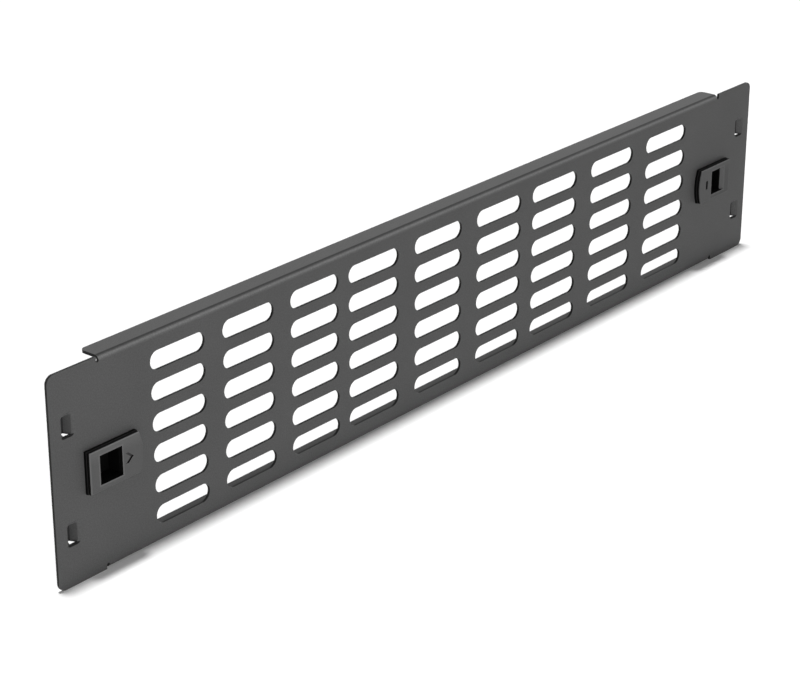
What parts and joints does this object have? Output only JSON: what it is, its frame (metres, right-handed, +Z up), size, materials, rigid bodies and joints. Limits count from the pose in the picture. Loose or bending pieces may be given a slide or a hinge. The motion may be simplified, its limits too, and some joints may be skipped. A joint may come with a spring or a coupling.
{
  "type": "rack blanking panel",
  "caption": "Vented sheet-steel filler panel for a 19-inch rack, two units high, with folded flanges, locating lugs and slide latches that need no tools.",
  "frame": {"origin": "centre of the sheet's rear face, the plane that seats on the rack rails", "axes": "+X along the panel's width, to the right as seen from the front; +Y rearwards into the rack; +Z up"},
  "size_m": [0.4826, 0.0161, 0.0882],
  "materials": {
    "powder_coat": "fine textured matt powder coat",
    "black_plastic": "matt moulded plastic"
  },
  "bodies": {
    "panel": {"panel": "powder_coat"},
    "left_slider": {"left_latch": "black_plastic"},
    "right_slider": {"right_latch": "black_plastic"}
  },
  "joints": [
    {"name": "left_latch_slide", "type": "slide", "parent": "panel", "child": "left_slider", "axis": [1, 0, 0], "range_m": [0, 0.006]},
    {"name": "right_latch_slide", "type": "slide", "parent": "panel", "child": "right_slider", "axis": [-1, 0, 0], "range_m": [0, 0.006]}
  ]
}
